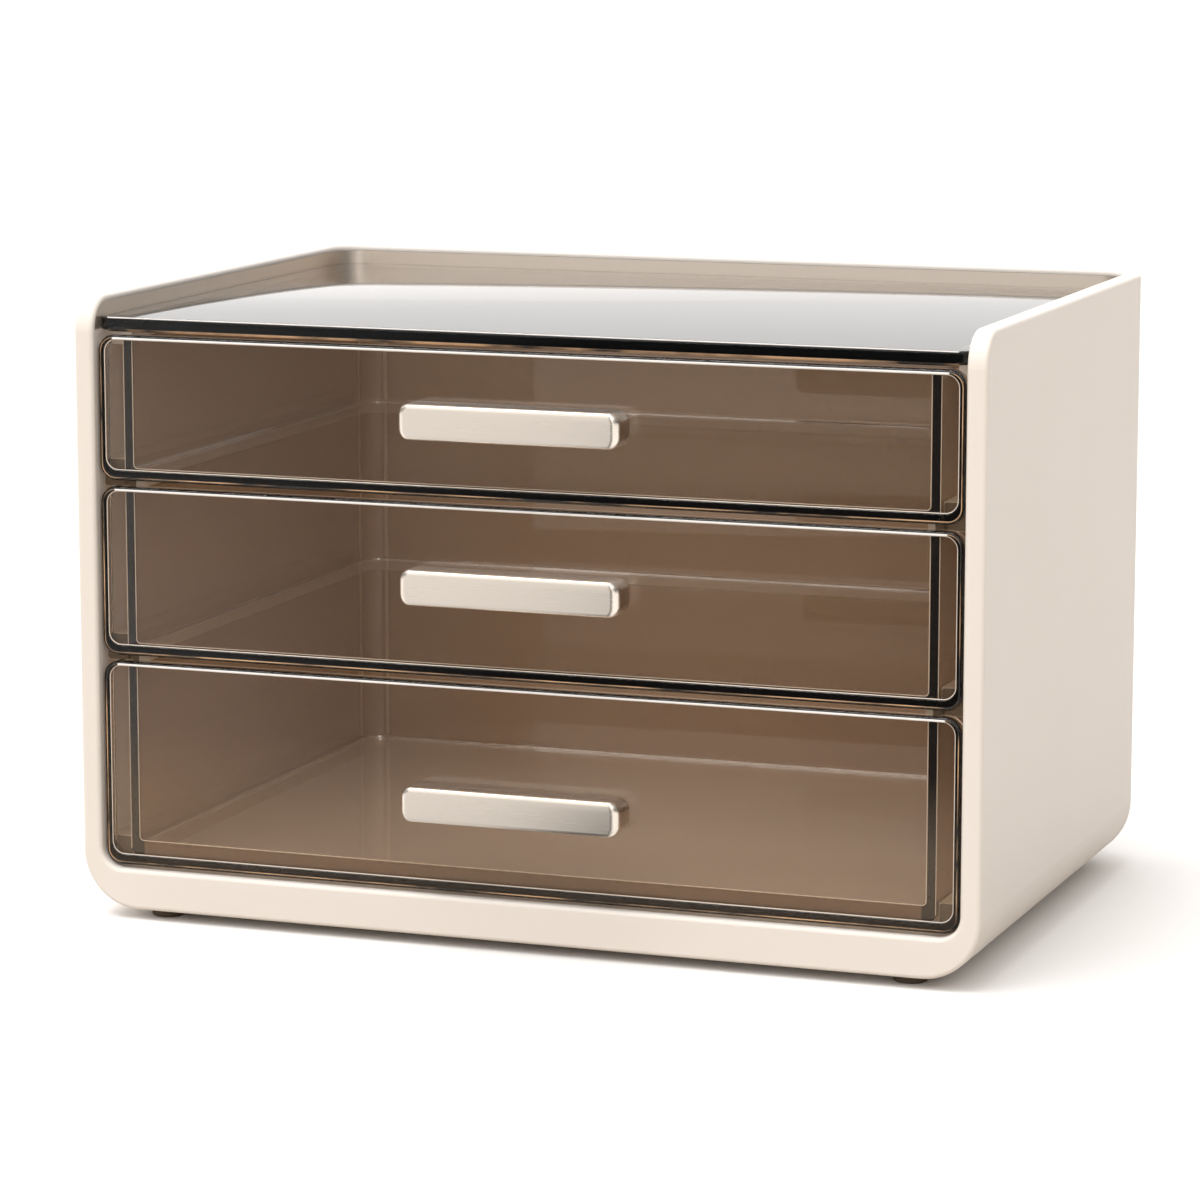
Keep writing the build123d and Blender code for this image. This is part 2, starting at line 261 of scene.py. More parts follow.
@dataclass(frozen=True)
class BrushedMetal:
    """Metal brushed along X: fine streaks that pull the highlight out into long lines."""

    name: str
    colour: str
    roughness: float
    streak_mm: float
    streak_length_mm: float = 30.0
    streak_depth_mm: float = 0.006
    streak_strength: float = 0.25
    streak_detail: float = 3.0
    gloss_spread: float = 0.08

    def material(self) -> bpy.types.Material:
        """Build the node material: noise stretched along X drives gloss and bump.

        Returns:
            The material.
        """
        material, tree = new_material(self.name)
        place = add_node(tree, "TexCoord").outputs["Object"]
        across = 1 / (self.streak_mm * MM)
        along = 1 / (self.streak_length_mm * MM)
        drawn = add_node(tree, "Mapping", {"Scale": (along, across, across)}, {"Vector": place})
        streak = add_node(tree, "TexNoise", {"Scale": 1.0, "Detail": self.streak_detail},
                          {"Vector": drawn.outputs[0]})
        gloss = add_node(tree, "MapRange", {"To Min": self.roughness - self.gloss_spread,
                                            "To Max": self.roughness + self.gloss_spread},
                         {"Value": streak.outputs["Fac"]})
        bump = add_node(tree, "Bump", {"Strength": self.streak_strength,
                                       "Distance": self.streak_depth_mm * MM},
                        {"Height": streak.outputs["Fac"]})
        shader = add_node(tree, "BsdfPrincipled", {"Base Color": linear(self.colour), "Metallic": 1.0},
                          {"Roughness": gloss.outputs[0], "Normal": bump.outputs[0]})
        add_node(tree, "OutputMaterial", links={"Surface": shader.outputs[0]})
        return material


Finish = MouldedPlastic | TintedAcrylic | BrushedMetal

# The grain of a moulded surface is near 0.1 mm, too fine to show, so every grain below is drawn coarser.

# ABS from a spark-eroded mould: an even cream with a wide soft sheen and no sharp reflections.
CASING = MouldedPlastic("cream_abs_moulded", "#F2EBE4", "#EFE7DE", roughness=0.42,
                        grain_mm=0.7, grain_depth_mm=0.05)
# Moulded acetal: a darker, slightly waxy sand tone.
RUNNER = MouldedPlastic("sand_acetal_moulded", "#D6C9B8", "#CDBFAD", roughness=0.4,
                        grain_mm=0.8, grain_depth_mm=0.04)
# ABS from a rougher mould, out of sight: a stone tone, nearly matt.
BASE = MouldedPlastic("stone_abs_moulded", "#B9AC9C", "#AFA292", roughness=0.5,
                      grain_mm=0.8, grain_depth_mm=0.06)
# Moulded rubber: dark brown, with hardly a highlight.
RUBBER = MouldedPlastic("brown_rubber_moulded", "#5A4C3B", "#4E4132", roughness=0.75,
                        grain_mm=0.6, grain_depth_mm=0.08)
# Painted shade on the runners' front ends: a thin matt brown sheet, lighter than the feet, that shows softly
# behind the fronts.
RUNNER_END_SHADE = MouldedPlastic("umber_painted_shade_sheet", "#7A6852", "#6E5D49", roughness=0.7,
                     grain_mm=0.6, grain_depth_mm=0.05)
# Painted light along clear acrylic edges: an opaque pale warm line in place of the light that comes out of
# them.
PAINTED_EDGE_LIGHT = MouldedPlastic("acrylic_edge_painted_light", "#F6EBDF", "#EFE0D0", roughness=0.3,
                      grain_mm=0.5, grain_depth_mm=0.01)
# Painted highlight along clear acrylic edges that face the lights: an opaque whiter and glossier line.
PAINTED_CREST_HIGHLIGHT = MouldedPlastic("acrylic_edge_painted_highlight", "#FAF8F6", "#F2EFEC", roughness=0.2,
                       grain_mm=0.5, grain_depth_mm=0.01)
# Painted glow and painted shade along bronze acrylic edges: gold where light would come out, nearly black
# between, in stretches of about 22 mm.
PAINTED_GOLD_GLOW = MouldedPlastic("bronze_edge_painted_glow", "#DDB287", "#1B140E", roughness=0.3,
                           grain_mm=0.5, grain_depth_mm=0.01, cloud_mm=22.0, cloud_spread=0.12)
# Moulded bronze acrylic of the fronts: a clear brown that deepens with the way through.
BRONZE = TintedAcrylic("bronze_acrylic_moulded", kept_per_cm=(0.54, 0.44, 0.35))
# The same in thinner walls with a faint haze: lighter, and able to show light and shade.
BOX = TintedAcrylic("bronze_acrylic_box_wall", kept_per_cm=(0.80, 0.72, 0.64),
                    milk=0.28, milk_colour="#DCCAB6")
# Cut end of the box floor, seen from the front: a hazier, browner band.
SILL = TintedAcrylic("bronze_acrylic_floor_edge", kept_per_cm=(0.60, 0.48, 0.38),
                     milk=0.4, milk_colour="#A98C72")
# Clear sheet with a trace of bronze: floors that stay light where they are seen one through another.
FLOOR = TintedAcrylic("light_bronze_acrylic_sheet", kept_per_cm=(0.975, 0.955, 0.93))
# Rims and wall ends, painted dark: near-total absorption stands in for the shade that long ways of light
# through them give, black but for what they mirror.
PAINTED_DARK_RIM = TintedAcrylic("bronze_rim_painted_dark", kept_per_cm=(1e-10, 1e-10, 1e-10))
# Smoked acrylic sheet: dark grey to look through, and a mirror of the room at a low angle.
SMOKE = TintedAcrylic("smoke_acrylic_sheet", kept_per_cm=(0.20, 0.19, 0.185))

# Brush marks are near 0.05 mm wide, too fine to show, so every streak below is drawn wider.

# Brushed nickel plate: a warm bright bar whose highlights run along it.
NICKEL = BrushedMetal("champagne_nickel_brushed", "#E4DACE", roughness=0.25, streak_mm=0.3)
# Satin aluminium: pale and even, with only a trace of streaks.
STRIP = BrushedMetal("champagne_aluminium_satin", "#F8EADB", roughness=0.45, streak_mm=0.25,
                     streak_depth_mm=0.0005, gloss_spread=0.03)
# Zinc plate on steel: a duller grey with short marks.
ZINC = BrushedMetal("zinc_plated_steel", "#B8B4AE", roughness=0.32, streak_mm=0.4, streak_length_mm=3.0)


def look(finish: Finish) -> bpy.types.Material:
    """Give the built material of a finish, made on its first use."""
    return bpy.data.materials.get(finish.name) or finish.material()


@dataclass(frozen=True)
class Outline:
    """Flat outline kept as round centres, outward directions and radii, so that it can be inset exactly."""

    centres: np.ndarray
    outward: np.ndarray
    radii: np.ndarray

    @classmethod
    def rounded(cls, low: Sequence[float], high: Sequence[float], radii: Sequence[float],
                steps: int = CORNER_STEPS) -> "Outline":
        """Rectangle with a quarter circle at each corner.

        Args:
            low: least corner.
            high: greatest corner.
            radii: four radii, from the least corner counter-clockwise.
            steps: spans in each quarter circle.

        Returns:
            The closed outline.
        """
        signs = np.array([(-1, -1), (1, -1), (1, 1), (-1, 1)])
        radius = np.asarray(radii, float)[:, None]
        corner = np.where(signs < 0, np.asarray(low) + radius, np.asarray(high) - radius)
        turn = np.radians([180, 270, 0, 90])[:, None] + np.linspace(0, math.pi / 2, steps + 1)
        outward = np.stack([np.cos(turn), np.sin(turn)], -1)
        count = steps + 1
        return cls(np.repeat(corner, count, 0), outward.reshape(-1, 2), np.repeat(radius, count, 0))

    @classmethod
    def open_front(cls, half_width: float, front: float, back: float, radius: float) -> "Outline":
        """Outline of a tray seen from above, from its right front round the back to its left front.

        Args:
            half_width: half the width.
            front: depth of the open front.
            back: depth of the back.
            radius: radius of the two back corners.

        Returns:
            The outline, in which the front points only move sideways.
        """
        turn = np.linspace(0, math.pi / 2, CORNER_STEPS + 1)
        turn = np.concatenate([[0.0], turn, turn + math.pi / 2, [math.pi]])
        outward = np.stack([np.cos(turn), np.sin(turn)], -1)
        side = np.where(np.arange(len(turn)) < len(turn) // 2, 1.0, -1.0)
        depth = np.full(len(turn), back - radius)
        depth[[0, -1]] = front
        centres = np.stack([side * (half_width - radius), depth], -1)
        return cls(centres, outward, np.full((len(turn), 1), radius))

    def inset(self, amounts: Sequence[float]) -> np.ndarray:
        """Rings of points, each the outline moved inwards: centre plus (radius less inset) times outward.

        Args:
            amounts: one inset for each ring; a negative one moves outwards.

        Returns:
            An array of rings by points by 2.
        """
        amounts = np.asarray(amounts, float)[:, None, None]
        return self.centres + (self.radii - amounts) * self.outward


def upright(rings: np.ndarray, depth: Sequence[float]) -> np.ndarray:
    """Stand rings drawn in width and height at a depth each, as 3-D points."""
    depth = np.broadcast_to(np.asarray(depth, float)[:, None], rings.shape[:2])
    return np.stack([rings[..., 0], depth, rings[..., 1]], -1)


def level(rings: np.ndarray, height: Sequence[float]) -> np.ndarray:
    """Lay rings drawn in width and depth at a height each, as 3-D points."""
    height = np.broadcast_to(np.asarray(height, float)[:, None], rings.shape[:2])
    return np.concatenate([rings, height[..., None]], -1)


def quarter(radius: float, steps: int = EDGE_STEPS) -> tuple[np.ndarray, np.ndarray]:
    """Quarter round of an edge: how far it stands in from the side and down from the face.

    Args:
        radius: the edge's radius.
        steps: spans along it.

    Returns:
        Insets from 0 to the radius, and drops from the radius to 0.
    """
    turn = np.linspace(0, math.pi / 2, steps + 1)
    return radius * (1 - np.cos(turn)), radius * (1 - np.sin(turn))


def bead(path: np.ndarray, normal: np.ndarray, radius: float) -> np.ndarray:
    """Round bead along an open path: a circle in the plane of the path's own normal and the depth.

    Args:
        path: points by 3, in an upright plane.
        normal: points by 3, square to the path in that plane.
        radius: the bead's radius.

    Returns:
        Rings for skin, one at each point of the path.
    """
    turn = np.arange(BEAD_SIDES) * 2 * math.pi / BEAD_SIDES
    ring = np.cos(turn)[None, :, None] * normal[:, None] + np.sin(turn)[None, :, None] * np.array(BACKWARDS)
    return path[:, None] + radius * ring


def rod(start: Sequence[float], end: Sequence[float], normal: Sequence[float], radius: float) -> np.ndarray:
    """Straight bead from one point to another.

    Args:
        start: its first point.
        end: its last point.
        normal: a direction square to it and to the depth.
        radius: the bead's radius.

    Returns:
        Rings for skin, one at each end.
    """
    return bead(np.array([start, end]), np.array([normal, normal]), radius)


def hoop(outline: Outline, depth: float, radius: float, inset: float) -> np.ndarray:
    """Round bead inside a closed outline: its inset and depth go round a circle.

    Args:
        outline: the outline that it follows.
        depth: depth of its middle.
        radius: the bead's radius.
        inset: how far its middle stands in from the outline.

    Returns:
        Rings for skin, looped.
    """
    turn = np.arange(BEAD_SIDES) * 2 * math.pi / BEAD_SIDES
    return upright(outline.inset(inset + radius * np.cos(turn)), depth + radius * np.sin(turn))


def fan_volume(points: np.ndarray, faces: np.ndarray) -> float:
    """Signed volume under faces cut into fans of triangles: a sixth of first dot (second cross third).

    Args:
        points: points by 3.
        faces: faces by corners, all with the same count.

    Returns:
        The volume, positive where the faces point outwards.
    """
    first = points[faces[:, :1]]
    second, third = points[faces[:, 1:-1]], points[faces[:, 2:]]
    return float((first * np.cross(second, third)).sum() / 6)


def skin(name: str, stacks: Sequence[np.ndarray], ends: Ends) -> bpy.types.Object:
    """Make a closed piece from stacks of rings, with quads from ring to ring and from point to point.

    Args:
        name: the piece's name.
        stacks: arrays of rings by points by 3, one for each solid of the piece.
        ends: how each stack is closed.

    Returns:
        The new object, faces outwards.
    """
    points, faces, smooth, start = [], [], [], 0
    for rings in stacks:
        count, width = rings.shape[:2]
        flat = rings.reshape(-1, 3)
        index = np.arange(count * width).reshape(count, width)
        grid = np.concatenate([index, index[:, :1]], 1)
        if ends is Ends.LOOPED:
            grid = np.concatenate([grid, grid[:1]])
        quads = np.stack([grid[:-1, :-1], grid[:-1, 1:], grid[1:, 1:], grid[1:, :-1]], -1).reshape(-1, 4)
        caps = [] if ends is Ends.LOOPED else [index[0, ::-1], index[-1]]
        volume = fan_volume(flat, quads) + sum(fan_volume(flat, cap[None]) for cap in caps)
        turn = 1 if volume > 0 else -1
        faces += (quads[:, ::turn] + start).tolist() + [(cap[::turn] + start).tolist() for cap in caps]
        # Large flat ends keep their own normal, so that rounds beside them don't bend it.
        smooth += [True] * len(quads) + [False] * len(caps)
        points.append(flat)
        start += len(flat)
    mesh = bpy.data.meshes.new(name)
    mesh.from_pydata(np.concatenate(points), [], faces)
    mesh.polygons.foreach_set("use_smooth", smooth)
    mesh.set_sharp_from_angle(angle=math.radians(CREASE))
    piece = bpy.data.objects.new(name, mesh)
    bpy.context.scene.collection.objects.link(piece)
    return piece


def dress(piece: bpy.types.Object, finish: Finish) -> None:
    """Give a piece its finish and report it.

    Args:
        piece: a carried-over node or a new piece.
        finish: the finish to show.
    """
    piece.data.materials.clear()
    piece.data.materials.append(look(finish))
    LOG.info("%s: %s, %d faces", piece.name, finish.name, len(piece.data.polygons))


def settle(piece: bpy.types.Object, finish: Finish, body: Body, slot: Slot, *replaced: str) -> None:
    """Dress a new piece, set it riding and hide the nodes that it stands for.

    Args:
        piece: the new piece.
        finish: the finish to show.
        body: the body that it moves with.
        slot: the finish slot that it belongs to; not used.
        replaced: nodes that it stands for.
    """
    dress(piece, finish)
    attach(piece, body.value)
    if replaced:
        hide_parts(*replaced)


@dataclass
class Cabinet:
    """Casing with its rim strip, rails, runners, base plate and feet, all as built, in their finishes, and a
    sheet of painted shade on each runner's front end.
    """

    finishes: dict[str, Finish] = field(default_factory=lambda: {
        "outer_casing": CASING, "rim_liner": STRIP, "shelf_rail": CASING, "runner": RUNNER,
        "base_plate": BASE, "base_screws": ZINC, "foot": RUBBER})
    # The sheet of painted shade on each runner's front end: its thickness, corner radius, inset and where its
    # plates lie.
    shade_thickness: float = 0.2 * MM
    shade_radius: float = 1.0 * MM
    shade_inset: float = 0.2 * MM
    shade_ledge: float = 6.2 * MM
    shade_lead: float = 3.0 * MM
    shade_guide: float = 6.0 * MM

    def build(self) -> None:
        """Dress every node of the cabinet whose shape stays, and lay painted shade on the runners' front
        ends.
        """
        for node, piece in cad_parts.items():
            for start, finish in self.finishes.items():
                if node.startswith(start):
                    dress(piece, finish)
            if node.startswith("runner"):
                self.build_end_shade(node)

    def build_end_shade(self, runner: str) -> None:
        """Build the thin sheet of painted shade on a runner's front end: a rounded plate on its guide and one
        on its ledge.

        Args:
            runner: the runner's node.
        """
        low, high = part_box(runner)
        sign = 1.0 if low.x > 0 else -1.0
        wall, tip = max(abs(low.x), abs(high.x)), min(abs(low.x), abs(high.x))
        guide = tip + self.shade_ledge
        plates = [((guide, low.z), (wall, high.z)),
                  ((tip + self.shade_lead, low.z), (guide + self.shade_radius, high.z - self.shade_guide))]
        stacks = []
        for least, most in plates:
            left, right = sorted((sign * least[0], sign * most[0]))
            view = Outline.rounded((left, least[1]), (right, most[1]), [self.shade_radius] * 4)
            stacks.append(upright(view.inset([self.shade_inset] * 2), [low.y - self.shade_thickness, low.y]))
        end_shade = skin(runner.replace("runner", "runner_end_shade"), stacks, Ends.CAPPED)
        settle(end_shade, RUNNER_END_SHADE, Body.CABINET, Slot.RUBBER)


@dataclass
class Shelf:
    """Clear smoked sheet on top, with beads of painted highlight and painted glow along its front edge."""

    front_radius: float = 3.5 * MM
    back_radius: float = 10.7 * MM
    edge_radius: float = 0.6 * MM
    line_radius: float = 0.22 * MM
    line_inset: float = 0.3 * MM
    glow_radius: float = 0.5 * MM
    glow_inset: float = 1.0 * MM

    def build(self) -> None:
        """Build the sheet from insets of its plan, and the lines of painted light along its front edge."""
        low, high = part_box("top_shelf")
        plan = Outline.rounded(low[:2], high[:2], [self.front_radius] * 2 + [self.back_radius] * 2)
        inset, drop = quarter(self.edge_radius)
        insets = np.concatenate([inset[::-1], inset])
        heights = np.concatenate([low.z + drop[::-1], high.z - drop])
        sheet = skin("shelf_sheet", [level(plan.inset(insets), heights)], Ends.CAPPED)
        settle(sheet, SMOKE, Body.CABINET, Slot.SHELF, "top_shelf")

        reach = high.x - self.front_radius
        depth, height = low.y + self.line_inset, high.z - self.line_inset
        top = rod((-reach, depth, height), (reach, depth, height), UPWARDS, self.line_radius)
        settle(skin("shelf_front_line", [top], Ends.CAPPED), PAINTED_CREST_HIGHLIGHT, Body.CABINET, Slot.SHELF)
        depth = low.y + self.glow_inset
        under = rod((-reach, depth, low.z), (reach, depth, low.z), UPWARDS, self.glow_radius)
        settle(skin("shelf_under_line", [under], Ends.CAPPED), PAINTED_GOLD_GLOW, Body.CABINET, Slot.SHELF)


@dataclass
class Drawer:
    """Clear drawer: a thin pane in a rim painted dark, a box behind it, and a brushed bar handle."""

    tier: Tier
    # The front: its rim, the borders inside it and the pane.
    corner_radius: float = 5.5 * MM
    rim_edge: float = 0.8 * MM
    rim_depth: float = 1.4 * MM
    rim_back_edge: float = 0.4 * MM
    rim_inner_edge: float = 0.3 * MM
    side_border: float = 2.0 * MM
    bottom_border: float = 3.4 * MM
    top_border: float = 1.3 * MM
    pocket_border: float = 0.8 * MM
    pane_radius: float = 4.5 * MM
    pane_recess: float = 0.8 * MM
    pane_back: float = 3.0 * MM
    pane_gap: float = 0.05 * MM
    # Light lines along the edges.
    line_radius: float = 0.18 * MM
    outer_line_radius: float = 0.144 * MM
    corner_line_radius: float = 0.8 * MM
    top_line_radius: float = 0.38 * MM
    top_line_drop: float = 1.1 * MM
    glow_radius: float = 0.2 * MM
    glow_depth: float = 0.1 * MM
    glow_inset: float = 0.95 * MM
    # The box behind the front.
    box_wall: float = 3.2 * MM
    box_floor: float = 3.0 * MM
    lower_box_floor: float = 5.0 * MM
    box_edge_depth: float = 0.8 * MM
    box_radius: float = 10.0 * MM
    box_edge: float = 2.0 * MM
    box_inner_edge: float = 1.5 * MM
    box_lip: float = 0.6 * MM
    box_gap: float = 0.1 * MM
    sill_steps: int = 2
    # The handle.
    handle_radius: float = 4.0 * MM
    handle_end_edge: float = 3.1 * MM
    handle_top_edge: float = 1.5 * MM
    handle_back_edge: float = 0.4 * MM
    handle_steps: int = 8

    @property
    def body(self) -> Body:
        """The body of this drawer."""
        return Body[self.tier.name]

    @property
    def floor_inset(self) -> float:
        """How far the flat of the box floor stands in from the outside of the walls."""
        return self.box_wall + self.box_inner_edge

    @property
    def end_depth(self) -> float:
        """Depth of the pieces that close the front ends of walls and floor."""
        return self.box_edge_depth - self.pane_gap

    def named(self, piece: str) -> str:
        """Name of this drawer's piece or node."""
        return f"{piece}_{self.tier.value}"

    def front_outline(self) -> Outline:
        """Outer edge of the front in width and height.

        Returns:
            The rounded outline.
        """
        low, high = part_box(self.named("drawer_front"))
        return Outline.rounded((low.x, low.z), (high.x, high.z), [self.corner_radius] * 4)

    def front_field(self, bottom: float) -> Outline:
        """Field inside the front's borders in width and height.

        Args:
            bottom: border along the bottom edge.

        Returns:
            The rounded outline.
        """
        low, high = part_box(self.named("drawer_front"))
        return Outline.rounded((low.x + self.side_border, low.z + bottom),
                               (high.x - self.side_border, high.z - self.top_border),
                               [self.pane_radius] * 4)

    def box_place(self) -> tuple[Vector, Vector, float, float]:
        """Where the box lies.

        Returns:
            Its least and greatest corners, the depth of its front ends and the height of its floor.
        """
        low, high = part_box(self.named("drawer_box"))
        thickness = self.lower_box_floor if self.tier is Tier.LOWER else self.box_floor
        return low, high, low.y + self.box_gap, low.z + thickness

    def build_pane(self) -> None:
        """Build the pane: rings run from the pocket in its back round the outer edge to the face."""
        low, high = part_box(self.named("drawer_front"))
        outer = self.front_outline()
        inner, pocket = self.front_field(self.bottom_border), self.front_field(self.pocket_border)
        step = low.y + self.rim_depth + self.pane_gap
        back_in, back_drop = quarter(self.rim_back_edge)
        rings = np.concatenate([
            upright(pocket.inset([0.0, 0.0]), [low.y + self.pane_back, high.y]),
            upright(outer.inset(back_in[::-1]), high.y - back_drop[::-1]),
            upright(outer.inset([0.0]), [step]),
            upright(inner.inset([self.pane_gap] * 2), [step, low.y + self.pane_recess]),
        ])
        pane = skin(self.named("front_pane"), [rings], Ends.CAPPED)
        settle(pane, BRONZE, self.body, Slot.DRAWER, self.named("drawer_front"))

    def build_rim(self) -> None:
        """Build the rim: rings run over its rounded outer edge and its finer inner edge, in a loop."""
        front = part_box(self.named("drawer_front"))[0].y
        outer, inner = self.front_outline(), self.front_field(self.bottom_border)
        step = front + self.rim_depth
        outer_in, outer_drop = quarter(self.rim_edge)
        inner_in, inner_drop = quarter(self.rim_inner_edge)
        rings = np.concatenate([
            upright(outer.inset([0.0]), [step]),
            upright(outer.inset(outer_in), front + outer_drop),
            upright(inner.inset(-inner_in[::-1]), front + inner_drop[::-1]),
            upright(inner.inset([0.0]), [step]),
        ])
        rim = skin(self.named("front_rim"), [rings], Ends.LOOPED)
        # The rim is painted dark: its near-black absorption stands in for shade.
        settle(rim, PAINTED_DARK_RIM, self.body, Slot.DRAWER, self.named("drawer_front"))

    def build_front_lines(self) -> None:
        """Build the beads of painted highlight and painted glow round the pane, round the rim and along the
        top edge of the front.
        """
        low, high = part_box(self.named("drawer_front"))
        radius = self.line_radius
        loop = hoop(self.front_field(self.bottom_border), low.y + self.pane_recess - radius, radius, radius)
        line = skin(self.named("front_line"), [loop], Ends.LOOPED)
        settle(line, PAINTED_EDGE_LIGHT, self.body, Slot.DRAWER)
        streak = hoop(self.front_outline(), low.y + self.glow_depth, self.glow_radius, self.glow_inset)
        glow = skin(self.named("front_glow_line"), [streak], Ends.LOOPED)
        settle(glow, PAINTED_GOLD_GLOW, self.body, Slot.DRAWER)
        reach, height = high.x - self.corner_radius, high.z - self.top_line_drop
        top = rod((-reach, low.y, height), (reach, low.y, height), UPWARDS, self.top_line_radius)
        crest = skin(self.named("front_top_line"), [top], Ends.CAPPED)
        settle(crest, PAINTED_CREST_HIGHLIGHT, self.body, Slot.DRAWER)

    def build_walls(self) -> None:
        """Build walls and their front ends, which are painted dark: the wall's section is carried round the
        box's plan.
        """
        low, high, front, floor_top = self.box_place()
        plan = Outline.open_front(high.x, front, high.y, self.box_radius)
        wall = self.box_wall
        edge_in, edge_drop = quarter(self.box_edge)
        lip_in, lip_drop = quarter(self.box_lip)
        cove_in, cove_drop = quarter(self.box_inner_edge)
        insets = np.concatenate([edge_in[::-1], lip_in, wall - lip_in[::-1], wall + cove_in,
                                 [self.floor_inset]])
        heights = np.concatenate([low.z + edge_drop[::-1], high.z - lip_drop, high.z - lip_drop[::-1],
                                  floor_top + cove_drop, [low.z]])
        sections = level(plan.inset(insets), heights).swapaxes(0, 1)
        behind = sections.copy()
        behind[[0, -1], :, 1] += self.box_edge_depth
        walls = skin(self.named("box_walls"), [behind], Ends.CAPPED)
        settle(walls, BOX, self.body, Slot.DRAWER, self.named("drawer_box"))
        thickness = np.array([0.0, self.end_depth])[:, None, None] * np.array(BACKWARDS)
        edges = skin(self.named("box_edges"), [end + thickness for end in sections[[0, -1]]], Ends.CAPPED)
        settle(edges, PAINTED_DARK_RIM, self.body, Slot.DRAWER, self.named("drawer_box"))

    def build_floor(self) -> None:
        """Build the flat floor from two insets of the box's plan, and the strip that closes its front."""
        low, high, front, floor_top = self.box_place()
        plan = Outline.open_front(high.x, front, high.y, self.box_radius)
        sheet = level(plan.inset([self.floor_inset + self.box_gap] * 2), [low.z, floor_top])
        sheet[:, [0, -1], 1] += self.box_edge_depth
        floor = skin(self.named("box_floor"), [sheet], Ends.CAPPED)
        settle(floor, FLOOR, self.body, Slot.DRAWER, self.named("drawer_box"))
        half = high.x - self.floor_inset - self.box_gap
        strip = Outline.rounded((-half, low.z), (half, floor_top), [self.box_gap] * 4, self.sill_steps)
        ends = upright(strip.inset([0.0, 0.0]), [front, front + self.end_depth])
        sill = skin(self.named("box_sill"), [ends], Ends.CAPPED)
        settle(sill, SILL, self.body, Slot.DRAWER, self.named("drawer_box"))

    def build_box_lines(self) -> None:
        """Build the beads of painted highlight along the box's front edges and in its back corners."""
        low, high, front, floor_top = self.box_place()
        radius, wall, top = self.line_radius, self.box_wall, high.z - self.box_lip
        depth, half = front - radius / 2, high.x - wall
        # Only the lower half of this outline is used, so its upper corners lie well above the box.
        cove = Outline.rounded((-half, floor_top), (half, high.z + 2 * self.box_radius),
                               [self.box_inner_edge] * 4)
        count = len(cove.radii) // 2
        path = np.concatenate([[(-half, top)], cove.inset([0.0])[0, :count], [(half, top)]])
        normal = cove.outward[:count]
        normal = np.concatenate([normal[:1], normal, normal[-1:]])
        inner = bead(upright(path[None], [depth])[0], upright(normal[None], [0.0])[0], radius)
        foot = low.z + self.box_edge
        outers = [rod((x, depth, foot), (x, depth, top), SIDEWAYS, self.outer_line_radius)
                  for x in (-high.x, high.x)]
        # Painted highlights: a back corner shows a line at each end of its round, in the middle of the wall.
        turns = [(high.x - wall / 2, high.y - self.box_radius), (high.x - self.box_radius, high.y - wall / 2)]
        backs = [rod((sign * x, y, floor_top), (sign * x, y, top), SIDEWAYS, self.corner_line_radius)
                 for x, y in turns for sign in (-1, 1)]
        lines = skin(self.named("box_lines"), [inner, *outers, *backs], Ends.CAPPED)
        settle(lines, PAINTED_EDGE_LIGHT, self.body, Slot.DRAWER)

    def build_handle(self) -> None:
        """Build the bar: its front edge is a round whose radius grows from the long sides to the ends."""
        low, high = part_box(self.named("handle"))
        view = Outline.rounded((low.x, low.z), (high.x, high.z), [self.handle_radius] * 4)
        inset, drop = quarter(1.0, self.handle_steps)
        edges = np.array([self.handle_end_edge, self.handle_top_edge])
        flat = view.centres + (view.radii - inset[:, None, None] * edges) * view.outward
        depth = low.y + drop[:, None] * (view.outward ** 2 @ edges)
        rounds = np.stack([flat[..., 0], depth, flat[..., 1]], -1)
        relief = self.handle_back_edge
        seat = upright(view.inset([relief, relief, 0.0]), [high.y, high.y - relief / 2, high.y - relief])
        bar = skin(self.named("handle_bar"), [np.concatenate([seat, rounds])], Ends.CAPPED)
        settle(bar, NICKEL, self.body, Slot.HANDLE, self.named("handle"))

    def build(self) -> None:
        """Build the drawer's pieces and dress the small fixings that stay."""
        self.build_pane()
        self.build_rim()
        self.build_front_lines()
        self.build_walls()
        self.build_floor()
        self.build_box_lines()
        self.build_handle()
        for fixing in ("handle_screws", "handle_washers"):
            dress(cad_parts[self.named(fixing)], ZINC)


@dataclass(frozen=True)
class Softbox:
    """Soft patch of light far away: full inside one angle from its centre, none outside another."""

    towards: tuple[float, float, float]
    inner: float
    outer: float
    strength: float


